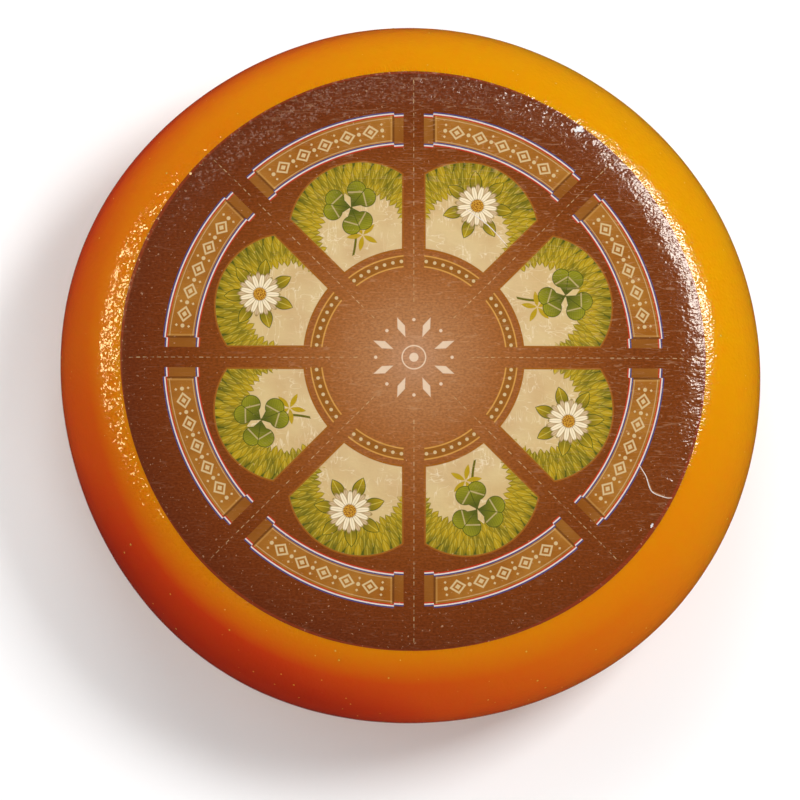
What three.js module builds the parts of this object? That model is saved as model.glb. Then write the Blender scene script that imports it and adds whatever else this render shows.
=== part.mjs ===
// A whole wheel of hard cheese, lying flat with its printed label up.
//
// The body is one block of cheese in its coated rind: flat underneath, a little crowned on top, with
// a side that bulges out as half an ellipse. The label is a thin printed disc that lies in a shallow
// seat in the upper face and bends down over the start of the shoulder.
//
// Millimetres, +Z up. The origin is on the table, under the middle of the wheel.

import * as THREE from "three";

// The wheel.
const WHEEL_RADIUS = 175;
const WHEEL_HEIGHT = 110;
const FLAT_RADIUS = 125; // where both faces begin to round over into the side
const CROWN = 1.5; // how far the middle of the upper face stands above its rim

// The label, and the seat that holds it.
const LABEL_RADIUS = 142.5;
const LABEL_THICKNESS = 0.4;
const LABEL_PROUD = 0.15; // how far the label stands above the rind beside it
const CLEARANCE = 0.3; // between the label and its seat, below it and around it

// The wheel was pressed and turned by hand, so it isn't quite round and its top isn't quite even.
// Each slow wave has its height, and the bearing in degrees of a crest or of the way it runs.
const OUTLINE_WAVES = [
  { count: 2, height: 0.6, crest: -46 },
  { count: 3, height: 0.15, crest: -20 },
  { count: 4, height: 0.5, crest: -31 },
  { count: 5, height: 0.55, crest: 21 },
];
const FACE_WAVES = [
  { length: 235, height: 0.45, bearing: 25, phase: 40 },
  { length: 150, height: 0.3, bearing: 118, phase: 200 },
  { length: 97, height: 0.15, bearing: -64, phase: 310 },
];

// How finely the curves are divided.
const STEPS_AROUND = 120;
const STEPS_UP_SIDE = 22;
const STEPS_ACROSS_FLAT = 4;
const STEPS_OVER_SHOULDER = 3;

const COLOURS = { rind: "#e08a0c", label: "#7a3f1c" };

const rimHeight = WHEEL_HEIGHT - CROWN;
const sideDepth = WHEEL_RADIUS - FLAT_RADIUS;
const halfSide = rimHeight / 2;
const seatRadius = LABEL_RADIUS + CLEARANCE;
const radians = THREE.MathUtils.degToRad;

// The height of the upper surface of the rind at a distance from the wheel's axis, before the waves.
function upperSurface(radius) {
  if (radius <= FLAT_RADIUS) {
    return rimHeight + CROWN * Math.cos((Math.PI / 2) * (radius / FLAT_RADIUS)) ** 2;
  }
  const out = (radius - FLAT_RADIUS) / sideDepth;
  return halfSide + halfSide * Math.sqrt(1 - out * out);
}

// Evenly spaced numbers from one to another, both ends included.
function spaced(from, to, steps) {
  return Array.from({ length: steps + 1 }, (_, i) => from + ((to - from) * i) / steps);
}

// The radii, from the axis out, at which a disc of the given radius is divided.
function discRadii(radius) {
  const flat = spaced(0, FLAT_RADIUS, STEPS_ACROSS_FLAT);
  const shoulder = spaced(FLAT_RADIUS, radius, STEPS_OVER_SHOULDER);
  return [...flat, ...shoulder.slice(1)];
}

// The upper surface out to a radius, raised by an amount, as profile points from the axis out.
function surfacePoints(radius, raised) {
  return discRadii(radius).map((r) => new THREE.Vector2(r, upperSurface(r) + raised));
}

// Moves a point of the true wheel to where the uneven one has it. Its underside stays flat.
function uneven(point) {
  const radius = Math.hypot(point.x, point.y);
  const bearing = Math.atan2(point.y, point.x);
  const outward = OUTLINE_WAVES.reduce(
    (sum, wave) => sum + wave.height * Math.cos(wave.count * (bearing - radians(wave.crest))),
    0,
  );
  const stretch = 1 + (outward * radius) / WHEEL_RADIUS ** 2;
  const upward = FACE_WAVES.reduce((sum, wave) => {
    const along = point.x * Math.cos(radians(wave.bearing)) + point.y * Math.sin(radians(wave.bearing));
    return sum + wave.height * Math.sin((2 * Math.PI * along) / wave.length + radians(wave.phase));
  }, 0);
  const share = THREE.MathUtils.smoothstep(point.z, halfSide, rimHeight);
  point.set(point.x * stretch, point.y * stretch, point.z + upward * share);
}

// Turns a profile, from the axis at the bottom to the axis at the top, into an uneven round solid.
function turned(profile) {
  const geometry = new THREE.LatheGeometry(profile, STEPS_AROUND).rotateX(Math.PI / 2);
  const positions = geometry.getAttribute("position");
  const point = new THREE.Vector3();
  for (let i = 0; i < positions.count; i += 1) {
    point.fromBufferAttribute(positions, i);
    uneven(point);
    positions.setXYZ(i, point.x, point.y, point.z);
  }
  geometry.computeVertexNormals();
  return geometry;
}

// The body: the flat underside, the bulging side up to the seat's edge, and the seat's floor.
function makeRind() {
  const underside = spaced(0, FLAT_RADIUS, 2).map((r) => new THREE.Vector2(r, 0));
  const seatAngle = Math.acos((seatRadius - FLAT_RADIUS) / sideDepth);
  const side = spaced(-Math.PI / 2, seatAngle, STEPS_UP_SIDE)
    .slice(1)
    .map(
      (angle) =>
        new THREE.Vector2(
          FLAT_RADIUS + sideDepth * Math.cos(angle),
          halfSide + halfSide * Math.sin(angle),
        ),
    );
  const seatDepth = LABEL_THICKNESS + CLEARANCE - LABEL_PROUD;
  const seat = surfacePoints(seatRadius, -seatDepth).reverse();
  const material = new THREE.MeshStandardMaterial({
    color: COLOURS.rind,
    roughness: 0.35,
    metalness: 0,
  });
  const mesh = new THREE.Mesh(turned([...underside, ...side, ...seat]), material);
  mesh.name = "rind";
  return mesh;
}

// The label: one even thickness of printed film, lying along the upper surface.
function makeLabel() {
  const lower = surfacePoints(LABEL_RADIUS, LABEL_PROUD - LABEL_THICKNESS);
  const upper = surfacePoints(LABEL_RADIUS, LABEL_PROUD).reverse();
  const material = new THREE.MeshStandardMaterial({
    color: COLOURS.label,
    roughness: 0.4,
    metalness: 0,
  });
  const mesh = new THREE.Mesh(turned([...lower, ...upper]), material);
  mesh.name = "label";
  return mesh;
}

const wheel = new THREE.Group();
wheel.add(makeRind(), makeLabel());

// The outline's waves leave the wheel a little off its axis, so its box is centred on the origin.
const middle = new THREE.Box3().setFromObject(wheel, true).getCenter(new THREE.Vector3());
wheel.position.set(-middle.x, -middle.y, 0);

export default wheel;
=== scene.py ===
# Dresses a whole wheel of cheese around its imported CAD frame, and sets it in a plain studio.
#
# The wheel lies flat with its printed label up. Its side bulges, its coating is glossy with fine
# dimples, and the label is a thin printed film that follows the upper face and wrinkles at its rim.
#
# Metres, +Z up, in the same frame as the CAD. A size in millimetres is multiplied by MM, apart from
# those of the print, which is drawn in millimetres from the label's centre.

import math

import bpy
from bpy.props import FloatProperty, FloatVectorProperty, IntProperty, PointerProperty
from mathutils import Matrix, Vector
from mathutils.bvhtree import BVHTree


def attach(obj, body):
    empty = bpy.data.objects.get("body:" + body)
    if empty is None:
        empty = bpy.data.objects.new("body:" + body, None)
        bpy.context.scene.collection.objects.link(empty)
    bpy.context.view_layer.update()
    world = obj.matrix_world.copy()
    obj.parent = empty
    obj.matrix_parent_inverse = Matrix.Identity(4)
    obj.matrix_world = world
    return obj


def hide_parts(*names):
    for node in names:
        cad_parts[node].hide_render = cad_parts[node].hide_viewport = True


bl_info = {
    "name": "Cheese Wheel",
    "version": (1, 0, 0),
    "blender": (4, 5, 0),
    "location": "View3D > Sidebar > Cheese Wheel",
    "description": "Makes the coated rind and the printed label of a whole cheese wheel",
    "category": "Object",
}

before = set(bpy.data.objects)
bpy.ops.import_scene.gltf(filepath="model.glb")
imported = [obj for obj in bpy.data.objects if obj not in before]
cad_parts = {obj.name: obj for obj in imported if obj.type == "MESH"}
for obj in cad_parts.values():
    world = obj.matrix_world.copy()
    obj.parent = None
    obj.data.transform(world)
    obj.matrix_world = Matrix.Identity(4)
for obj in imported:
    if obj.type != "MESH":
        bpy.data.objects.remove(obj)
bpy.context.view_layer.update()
BODY = "root"

MM = 0.001
TAU = 2 * math.pi

# The wheel's form, as the CAD has it.
WHEEL_RADIUS = 175 * MM
WHEEL_HEIGHT = 110 * MM
FLAT_RADIUS = 125 * MM
CROWN = 1.5 * MM
LABEL_RADIUS = 142.5 * MM
LABEL_THICKNESS = 0.4 * MM
LABEL_PROUD = 0.15 * MM

# The outline's slow waves: how many go round, their height, and the bearing of a crest in degrees.
OUTLINE_WAVES = ((2, 0.6 * MM, -46), (3, 0.15 * MM, -20), (4, 0.5 * MM, -31), (5, 0.55 * MM, 21))
# The upper face's slow waves: length, height, the bearing that they run along, and phase in degrees.
FACE_WAVES = (
    (235 * MM, 0.45 * MM, 25, 40),
    (150 * MM, 0.3 * MM, 118, 200),
    (97 * MM, 0.15 * MM, -64, 310),
)

RIM_HEIGHT = WHEEL_HEIGHT - CROWN
SIDE_DEPTH = WHEEL_RADIUS - FLAT_RADIUS
HALF_SIDE = RIM_HEIGHT / 2


def wheel_axis():
    """Where the wheel's axis stands: its outline's waves put it a little off the middle of its box."""
    steps = 720
    points = []
    for step in range(steps):
        bearing = TAU * step / steps
        radius = WHEEL_RADIUS + sum(
            height * math.cos(count * (bearing - math.radians(crest)))
            for count, height, crest in OUTLINE_WAVES
        )
        points.append((radius * math.cos(bearing), radius * math.sin(bearing)))
    middle = [(min(values) + max(values)) / 2 for values in zip(*points)]
    return Vector((-middle[0], -middle[1], 0))


AXIS = wheel_axis()


# --------------------------------------------------------------------------------------------------
# Node trees written as expressions
# --------------------------------------------------------------------------------------------------


class Socket:
    """An output of a node. Arithmetic on it adds Math nodes to its tree."""

    def __init__(self, nodes, link):
        self.nodes = nodes
        self.link = link

    def math(self, operation, *others, clamp=False):
        settings = {"operation": operation, "use_clamp": clamp}
        return self.nodes.add("ShaderNodeMath", settings, dict(enumerate((self, *others))))

    def __add__(self, other):
        return self.math("ADD", other)

    def __sub__(self, other):
        return self.math("SUBTRACT", other)

    def __mul__(self, other):
        return self.math("MULTIPLY", other)

    def __truediv__(self, other):
        return self.math("DIVIDE", other)

    def __pow__(self, other):
        return self.math("POWER", other)

    def __mod__(self, other):
        return self.math("FLOORED_MODULO", other)

    def __neg__(self):
        return self.math("MULTIPLY", -1.0)

    def __abs__(self):
        return self.math("ABSOLUTE")

    def __rsub__(self, other):
        return self.nodes.add("ShaderNodeMath", {"operation": "SUBTRACT"}, {0: other, 1: self})

    __radd__ = __add__
    __rmul__ = __mul__

    def beside(self, other):
        """The length of a step that goes this far one way and that far the other."""
        return (self * self + other * other).math("SQRT")

    def clamped(self):
        return self.math("ADD", 0.0, clamp=True)

    def least(self, other):
        return self.math("MINIMUM", other)

    def most(self, other):
        return self.math("MAXIMUM", other)

    def past(self, edge, soft):
        """0 below the edge and 1 above it, rising over the soft width."""
        return self.math("MULTIPLY_ADD", 1 / soft, 0.5 - edge / soft, clamp=True)

    def within(self, low, high, soft):
        """1 between two edges and 0 outside them."""
        half = (high - low) / 2
        return (half - abs(self - (low + high) / 2)).past(0, soft)

    def share(self, low, high):
        """How far the value has come from low to high, from 0 to 1."""
        return self.math("MULTIPLY_ADD", 1 / (high - low), -low / (high - low), clamp=True)


class Nodes:
    """Adds nodes to one tree."""

    def __init__(self, tree):
        self.tree = tree

    def add(self, kind, settings=None, inputs=None, output=0):
        """A node of a kind, with its settings and then its inputs' values or links."""
        node = self.tree.nodes.new(kind)
        for name, value in (settings or {}).items():
            if name == "stops":
                self.fill_ramp(node.color_ramp, value)
            else:
                setattr(node, name, value)
        for key, value in (inputs or {}).items():
            self.plug(node.inputs[key], value)
        return Socket(self, node.outputs[output]) if node.outputs else node

    def plug(self, socket, value):
        if isinstance(value, Socket):
            self.tree.links.new(value.link, socket)
        else:
            socket.default_value = value

    @staticmethod
    def fill_ramp(ramp, stops):
        while len(ramp.elements) > 1:
            ramp.elements.remove(ramp.elements[-1])
        for index, (position, colour) in enumerate(stops):
            element = ramp.elements[0] if index == 0 else ramp.elements.new(position)
            element.position = position
            element.color = (*colour, 1)

    def ramp(self, value, stops):
        return self.add("ShaderNodeValToRGB", {"stops": stops}, {0: value})

    def mix(self, factor, first, second):
        """The first colour where the factor is 0, the second where it is 1."""
        inputs = {0: factor, 6: self.colour(first), 7: self.colour(second)}
        return self.add("ShaderNodeMix", {"data_type": "RGBA"}, inputs, output=2)

    def scaled(self, vector, factor):
        """A vector made longer or shorter, or a colour made lighter or darker."""
        return self.add("ShaderNodeVectorMath", {"operation": "SCALE"}, {0: vector, "Scale": factor})

    @staticmethod
    def colour(value):
        return value if isinstance(value, Socket) else (*value[:3], 1)

    def vector(self, x=0.0, y=0.0, z=0.0):
        return self.add("ShaderNodeCombineXYZ", None, {0: x, 1: y, 2: z})

    def parts(self, vector):
        """The three numbers of a vector."""
        first = self.add("ShaderNodeSeparateXYZ", None, {0: vector})
        return tuple(Socket(self, output) for output in first.link.node.outputs)

    def noise(self, vector, scale, detail=2.0, roughness=0.5, seed=None):
        """Smooth noise from 0 to 1, with the seed, if there is one, as its fourth dimension."""
        inputs = {"Vector": vector, "Scale": scale, "Detail": detail, "Roughness": roughness}
        if seed is None:
            return self.add("ShaderNodeTexNoise", {"noise_dimensions": "3D"}, inputs)
        return self.add("ShaderNodeTexNoise", {"noise_dimensions": "4D"}, {**inputs, "W": seed})

    def flat_cells(self, x, y, size, output="Distance"):
        """The nearest of points scattered over a plane: how far it is, or another of the outputs."""
        inputs = {"Vector": self.vector(x, y), "Scale": 1 / size}
        return self.add("ShaderNodeTexVoronoi", {"voronoi_dimensions": "2D"}, inputs, output)

    def flakes(self, x, y, size, lean):
        """The height of flat flakes, each tilted its own way, so that one here and there flashes."""
        cell = self.flat_cells(x, y, size, "Color")
        middle_x, middle_y, _ = self.parts(Socket(self, cell.link.node.outputs["Position"]))
        lean_x, lean_y, _ = self.parts(cell)
        return ((x - middle_x) * (lean_x - 0.5) + (y - middle_y) * (lean_y - 0.5)) * lean

    def bumped(self, depth, height):
        """The normal of a relief: its height from about 0 to 1, and how many metres 1 stands for."""
        return self.add("ShaderNodeBump", None, {"Strength": 1.0, "Distance": depth, "Height": height})

    def surface(self, inputs):
        """Ends a material's tree with one surface."""
        shader = self.add("ShaderNodeBsdfPrincipled", None, inputs)
        self.add("ShaderNodeOutputMaterial", None, {"Surface": shader})


def new_material(name):
    """An empty material, what adds nodes to it, and its Object coordinates."""
    material = bpy.data.materials.new(name)
    material.use_nodes = True
    material.node_tree.nodes.clear()
    nodes = Nodes(material.node_tree)
    return material, nodes, nodes.add("ShaderNodeTexCoord", None, None, "Object")


# --------------------------------------------------------------------------------------------------
# Geometry trees
# --------------------------------------------------------------------------------------------------


def new_geometry_tree(name, inputs):
    """An empty geometry tree with named inputs, and what adds nodes to it."""
    tree = bpy.data.node_groups.new(name, "GeometryNodeTree")
    for label, kind, value in inputs:
        socket = tree.interface.new_socket(label, in_out="INPUT", socket_type=kind)
        if value is not None:
            socket.default_value = value
    tree.interface.new_socket("Geometry", in_out="OUTPUT", socket_type="NodeSocketGeometry")
    nodes = Nodes(tree)
    group = tree.nodes.new("NodeGroupInput")
    named = {output.name: Socket(nodes, output) for output in group.outputs if output.name}
    return tree, nodes, named


def off_axis(nodes, position):
    """How far a place is from the wheel's axis along X, along Y and in all."""
    x, y, _ = nodes.parts(position)
    x = x - AXIS.x
    y = y - AXIS.y
    return x, y, x.beside(y)


def finish_tree(nodes, geometry, material, further_out=()):
    """Ends a tree: real geometry, smooth, in its material, or in others past a radius of each."""
    smooth = nodes.add("GeometryNodeSetShadeSmooth", None, {"Geometry": geometry})
    real = nodes.add("GeometryNodeRealizeInstances", None, {"Geometry": smooth})
    coated = nodes.add("GeometryNodeSetMaterial", None, {"Geometry": real, "Material": material})
    for radius, other in further_out:
        _, _, reach = off_axis(nodes, nodes.add("GeometryNodeInputPosition"))
        past = {"Geometry": coated, "Selection": reach.math("GREATER_THAN", radius), "Material": other}
        coated = nodes.add("GeometryNodeSetMaterial", None, past)
    nodes.add("NodeGroupOutput", None, {0: coated})


def drop_unused_slots(mesh):
    """Leaves only the material slots that faces use, because a grown mesh starts with an empty one."""
    used = sorted({face.material_index for face in mesh.polygons})
    materials = [mesh.materials[index] for index in used]
    indices = [used.index(face.material_index) for face in mesh.polygons]
    mesh.materials.clear()
    for material in materials:
        mesh.materials.append(material)
    mesh.polygons.foreach_set("material_index", indices)


def grow(name, tree, values, mesh=None):
    """Runs a tree, on a mesh or on nothing, and keeps what it makes as a plain mesh."""
    piece = bpy.data.objects.new(name, mesh or bpy.data.meshes.new(name))
    bpy.context.scene.collection.objects.link(piece)
    modifier = piece.modifiers.new(name, "NODES")
    modifier.node_group = tree
    for item in tree.interface.items_tree:
        if item.in_out == "INPUT" and item.name in values:
            modifier[item.identifier] = values[item.name]
    depsgraph = bpy.context.evaluated_depsgraph_get()
    made = bpy.data.meshes.new_from_object(piece.evaluated_get(depsgraph), depsgraph=depsgraph)
    piece.modifiers.remove(modifier)
    piece.data = made
    made.name = name
    if not made.polygons:
        raise RuntimeError(name + " came out empty")
    drop_unused_slots(made)
    return piece


def turned_grid(nodes, steps_round, steps_along):
    """A flat grid to be turned into a closed form: its turn from 0 to 1 and its way from 0 to 1."""
    sizes = {"Size X": 1.0, "Size Y": 1.0, "Vertices X": steps_round, "Vertices Y": steps_along}
    grid = nodes.add("GeometryNodeMeshGrid", None, sizes)
    x, y, _ = nodes.parts(nodes.add("GeometryNodeInputPosition"))
    return grid, x + 0.5, y + 0.5


def upper_surface(radius):
    """The height of the upper face and the shoulder at a distance from the axis, before the waves."""
    inner = (radius / FLAT_RADIUS).least(1.0)
    crown = (inner * (math.pi / 2)).math("COSINE") ** 2.0
    out = ((radius - FLAT_RADIUS) / SIDE_DEPTH).most(0.0)
    rise = (1.0 - out * out).most(0.0).math("SQRT")
    return HALF_SIDE + HALF_SIDE * rise + CROWN * crown


def outline_stretch(radius, bearing):
    """How much further out the uneven wheel has a point than the round one."""
    outward = 0.0
    for count, height, crest in OUTLINE_WAVES:
        phase = -count * math.radians(crest)
        outward = height * (bearing * float(count) + phase).math("COSINE") + outward
    return 1.0 + outward * radius / WHEEL_RADIUS**2


def face_lift(x, y, z):
    """How much higher the uneven upper face has a point."""
    upward = 0.0
    for length, height, bearing, phase in FACE_WAVES:
        run = TAU / length
        along = x * (run * math.cos(math.radians(bearing))) + y * (run * math.sin(math.radians(bearing)))
        upward = height * (along + math.radians(phase)).math("SINE") + upward
    climbed = z.share(HALF_SIDE, RIM_HEIGHT)
    return upward * (climbed * climbed * (3.0 - 2.0 * climbed))


def uneven_place(nodes, radius, turn, height):
    """Where the uneven wheel has a point of the true one, given by its radius, turn and height."""
    bearing = turn * TAU
    x = radius * bearing.math("COSINE")
    y = radius * bearing.math("SINE")
    stretch = outline_stretch(radius, bearing)
    lifted = height + face_lift(x, y, height)
    return nodes.vector(x * stretch + AXIS.x, y * stretch + AXIS.y, lifted)


def moved(nodes, geometry, offset):
    return nodes.add("GeometryNodeSetPosition", None, {"Geometry": geometry, "Offset": offset})


def closed(nodes, geometry):
    """Joins the seam and the poles of a turned form."""
    return nodes.add("GeometryNodeMergeByDistance", None, {"Geometry": geometry, "Distance": 0.01 * MM})


def along_normal(nodes, amount):
    return nodes.scaled(nodes.add("GeometryNodeInputNormal"), amount)


# --------------------------------------------------------------------------------------------------
# Settings
# --------------------------------------------------------------------------------------------------


def colour_property(name, description, default):
    return FloatVectorProperty(
        name=name, description=description, default=default, subtype="COLOR", size=3, min=0, max=1
    )


def length_property(name, description, default):
    return FloatProperty(name=name, description=description, default=default, unit="LENGTH", precision=5)


def power_property(name, description, default):
    return FloatProperty(name=name, description=description, default=default, unit="POWER")


class RindSettings(bpy.types.PropertyGroup):
    """The coated rind."""

    # Bright is the coating's own colour. The two reds are painted shade, for where the rind lay in shade.
    bright: colour_property("Bright coating", "Colour of the coating where no shade is painted", (0.64, 0.278, 0.0))
    painted_shade: colour_property("Painted shade", "Colour painted where the rind lay in shade", (0.60, 0.048, 0.006))
    painted_deepest_shade: colour_property("Painted deepest shade", "Colour painted where the shade is deepest", (0.36, 0.018, 0.004))
    bubble: colour_property("Bubble", "Colour of the bubbles in the coating", (0.80, 0.46, 0.10))
    dimple_height: length_property("Dimple height", "Depth of the orange-peel dimples", 0.3 * MM)
    dimple_size: length_property("Dimple size", "Distance from one dimple to the next", 1.3 * MM)
    flake_size: length_property("Flake size", "Width of a flake beside the label", 0.95 * MM)
    flake_lean: FloatProperty(name="Flake lean", description="Spread of the flakes' slopes", default=0.4)
    bubble_size: length_property("Bubble size", "Radius of the largest bubble", 0.6 * MM)
    bubbles: FloatProperty(name="Bubbles", description="Bubbles on a square metre", default=2600.0, min=0)
    steps_round: IntProperty(name="Steps round", description="Faces around the rind", default=720)
    seed: IntProperty(name="Seed", description="Seed of the bubbles", default=7)


class LabelSettings(bpy.types.PropertyGroup):
    """The printed label."""

    ground_middle: colour_property("Ground, middle", "Print colour at the middle", (0.40, 0.205, 0.108))
    ground_rim: colour_property("Ground, rim", "Print colour at the rim", (0.115, 0.022, 0.006))
    cream: colour_property("Cream", "Colour of the petals and dots", (0.56, 0.41, 0.205))
    gold: colour_property("Gold", "Colour of the ribbons and borders", (0.265, 0.085, 0.009))
    leaf: colour_property("Leaf", "Lighter green of the leaves", (0.375, 0.245, 0.010))
    leaf_shade: colour_property("Leaf shade", "Darker green of the leaves", (0.105, 0.095, 0.009))
    wrinkle_height: length_property("Wrinkle height", "Height of the film's wrinkles", 0.34 * MM)
    crease_radius: length_property("Crease radius", "Radius of the ridge along a crease", 0.2 * MM)
    steps_round: IntProperty(name="Steps round", description="Faces around the label", default=600)


class StageSettings(bpy.types.PropertyGroup):
    """The floor, the lights and the camera."""

    floor: colour_property("Floor", "Colour of the floor", (0.92, 0.92, 0.92))
    key_power: power_property("Key", "Power of the key light", 23.0)
    top_power: power_property("Top", "Power of the light behind", 9.0)
    side_power: power_property("Side", "Power of the light at the left", 3.9)
    fill_power: power_property("Fill", "Power of the light in front", 11.5)
    key_gloss: power_property("Key gloss", "Power of what the gloss shows at the right", 36.0)
    top_gloss: power_property("Top gloss", "Power of what the gloss shows behind", 2.7)
    side_gloss: power_property("Side gloss", "Power of what the gloss shows at the left", 8.5)
    sky_strength: FloatProperty(name="Sky", description="Strength of the even light", default=0.35)
    sky_mirrored: FloatProperty(name="Room", description="Strength of what the gloss mirrors", default=0.02)
    sky_shown: FloatProperty(name="Backdrop", description="Brightness of the bare backdrop", default=0.9)
    distance: FloatProperty(name="Distance", description="Camera to label", default=1.74, unit="LENGTH")
    lens: FloatProperty(name="Lens", description="Focal length in millimetres", default=161.5)


# --------------------------------------------------------------------------------------------------
# The rind
# --------------------------------------------------------------------------------------------------

RIND_ROWS = {"underside": 6, "side": 112, "top": 6}
SEAT_EDGE = LABEL_RADIUS - 2.0 * MM  # the film's rim lies on the full-height rind outside the seat
SEAT_DEPTH = 0.3 * MM

# The coating's relief, in heights of a dimple: fine dimples, and broad ones four times as wide.
FINE_DIMPLES = 0.35
BROAD_DIMPLES = 0.8
# The rough belt beside the label: streaked at the right, and wider and flaked at the left.
BELT_WIDTH = 5 * MM
BELT_WIDER_AT_LEFT = 6.5 * MM
STREAK_WIDTH = 1.2 * MM
STREAK_LENGTH = 3.5 * MM
STREAKS = 1.5
# The ways, along X and Y, towards which shade is painted into the coating: the front left, and the back
# left low on the shoulder.
SHADE_TO_FRONT_LEFT = (-0.58, -0.815)
SHADED = (-0.574, 0.819)
LOW_SIDE_SHADE = 0.45  # how much painted shade, from none at 0 to full at 1, the side evens out to low down


def coating(nodes, place, settings, colour, roughness):
    """The surface of the coating: cheese glows through it, and its gloss is broken by dimples."""
    x, y, z = nodes.parts(place)
    radius = x.beside(y)
    dimples = nodes.noise(place, 1 / settings.dimple_size, 0.0) - 0.5
    broad = nodes.noise(place, 0.25 / settings.dimple_size, 1.0) - 0.5
    round_wheel = y.math("ARCTAN2", x) * WHEEL_RADIUS
    along_belt = nodes.vector(round_wheel / STREAK_WIDTH, radius / STREAK_LENGTH)
    streaks = nodes.noise(along_belt, 1.0, 1.0) - 0.5
    flake = nodes.flakes(x, y, settings.flake_size, settings.flake_lean / settings.dimple_height)

    leftward = (x / -WHEEL_RADIUS).share(0.2, 0.7)
    off_label = radius - LABEL_RADIUS
    belt = (1.0 - off_label / (BELT_WIDTH + BELT_WIDER_AT_LEFT * leftward)).clamped()
    belt = belt * z.share(60 * MM, 90 * MM)
    flaked = (2.0 * belt * off_label.share(0.3 * MM, 1.6 * MM) * leftward).least(1.0)
    streaked = belt * STREAKS * (1.0 - leftward)
    height = FINE_DIMPLES * dimples + BROAD_DIMPLES * broad + streaked * streaks + flaked * flake
    nodes.surface(
        {
            "Base Color": colour,
            "Roughness": roughness,
            "Subsurface Weight": 0.8,
            "Subsurface Radius": (1.0, 0.30, 0.05),
            "Subsurface Scale": 0.008,
            "Normal": nodes.bumped(settings.dimple_height, height),
        }
    )


def rind_material(settings):
    """The coating, with shade painted into its colour where the wheel lay in shade: redder and darker
    towards the front left, most of all out on the shoulder, a little towards the back, and towards the
    back left low on the shoulder. Elsewhere it keeps its own yellow-orange. Below the widest part of
    the side it evens out."""
    material, nodes, place = new_material("rind_coating")
    x, y, z = nodes.parts(place)
    # Painted shade: how far a place lies towards the front left, and towards the back left.
    into_shade = (x * SHADE_TO_FRONT_LEFT[0] + y * SHADE_TO_FRONT_LEFT[1]) / WHEEL_RADIUS
    shaded = (x * SHADED[0] + y * SHADED[1]) / WHEEL_RADIUS
    past_shoulder = 1.0 - z.share(94 * MM, 104 * MM)
    low = 1.0 - z.share(76 * MM, 98 * MM)
    upper = z.share(20 * MM, 60 * MM)

    # Painted shade eased off on the face beside the label, and deepened out on the shoulder.
    shoulder_shade = (0.63 * past_shoulder - 0.50) * into_shade.most(0.0)
    # Painted shade a little towards the back, and more at the back left low on the shoulder.
    behind = 0.25 * (y / WHEEL_RADIUS).most(0.0) + (0.06 + 0.5 * shaded.share(0.57, 0.95)) * low
    cloud = 0.15 * (nodes.noise(place, 12.0, 3.0) - 0.5)
    # How much painted shade, from the coating's own yellow-orange at 0 to the painted red at 1, with a
    # little real unevenness from the cloud.
    depth = (0.33 + 0.57 * into_shade + shoulder_shade + behind + cloud).clamped()
    depth = LOW_SIDE_SHADE + (depth - LOW_SIDE_SHADE) * upper
    colour = nodes.mix(depth, settings.bright, settings.painted_shade)
    # The darkest painted shade, out on the shoulder at the front left.
    colour = nodes.mix(0.8 * low * upper * into_shade.share(0.75, 0.92), colour, settings.painted_deepest_shade)
    coating(nodes, place, settings, colour, 0.12)
    return material


def bubble_material(settings):
    """A bubble: paler than the coating round it."""
    material, nodes, place = new_material("coating_bubble")
    colour = nodes.mix(nodes.noise(place, 90.0), settings.bright, settings.bubble)
    coating(nodes, place, settings, colour, 0.2)
    return material


def swelling(nodes, position):
    """The slow swells and small dents that the rind and the film on it share, from about -0.7 to 0.7."""
    swells = nodes.noise(position, 1 / (38 * MM), 2.0, seed=3.0) - 0.5
    dents = nodes.noise(position, 1 / (9 * MM), 2.0, seed=5.0) - 0.5
    return swells + 0.35 * dents


def rind_tree(material):
    """A grid turned into the closed body: its underside, its bulging side and its upper face."""
    tree, nodes, given = new_geometry_tree(
        "rind",
        (
            ("Steps round", "NodeSocketInt", 720),
            ("Steps along", "NodeSocketInt", 120),
            ("Underside ends", "NodeSocketFloat", 0.05),
            ("Side ends", "NodeSocketFloat", 0.95),
            ("Unevenness", "NodeSocketFloat", 0.25 * MM),
        ),
    )
    grid, turn, way = turned_grid(nodes, given["Steps round"], given["Steps along"])
    under_end = given["Underside ends"]
    side_end = given["Side ends"]
    under = (way / under_end).least(1.0)
    side = ((way - under_end) / (side_end - under_end)).clamped()
    top = ((way - side_end) / (1.0 - side_end)).most(0.0)
    angle = (side - 0.5) * math.pi
    radius = (under - top) * FLAT_RADIUS + angle.math("COSINE") * SIDE_DEPTH
    crown = (top * (math.pi / 2)).math("SINE") ** 2.0
    height = HALF_SIDE + angle.math("SINE") * HALF_SIDE + crown * CROWN
    seat = (1.0 - radius.share(SEAT_EDGE, SEAT_EDGE + 0.5 * MM)) * height.share(HALF_SIDE, HALF_SIDE + MM)
    place = uneven_place(nodes, radius, turn, height - seat * SEAT_DEPTH)
    body = nodes.add("GeometryNodeSetPosition", None, {"Geometry": grid, "Position": place})
    body = closed(nodes, body)

    position = nodes.add("GeometryNodeInputPosition")
    clear_of_table = nodes.parts(position)[2].share(0.5 * MM, 8 * MM)
    amount = swelling(nodes, position) * given["Unevenness"] * clear_of_table
    body = moved(nodes, body, along_normal(nodes, amount))
    finish_tree(nodes, body, material)
    return tree


class CHEESE_OT_rind(bpy.types.Operator):
    """Make the coated body of the wheel"""

    bl_idname = "cheese.rind"
    bl_label = "Make Rind"

    def execute(self, context):
        settings = context.scene.cheese_rind
        rows = sum(RIND_ROWS.values())
        values = {
            "Steps round": settings.steps_round + 1,
            "Steps along": rows + 1,
            "Underside ends": RIND_ROWS["underside"] / rows,
            "Side ends": 1 - RIND_ROWS["top"] / rows,
        }
        rind = grow("cheese_rind", rind_tree(rind_material(settings)), values)
        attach(rind, BODY)
        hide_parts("rind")
        return {"FINISHED"}


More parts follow.
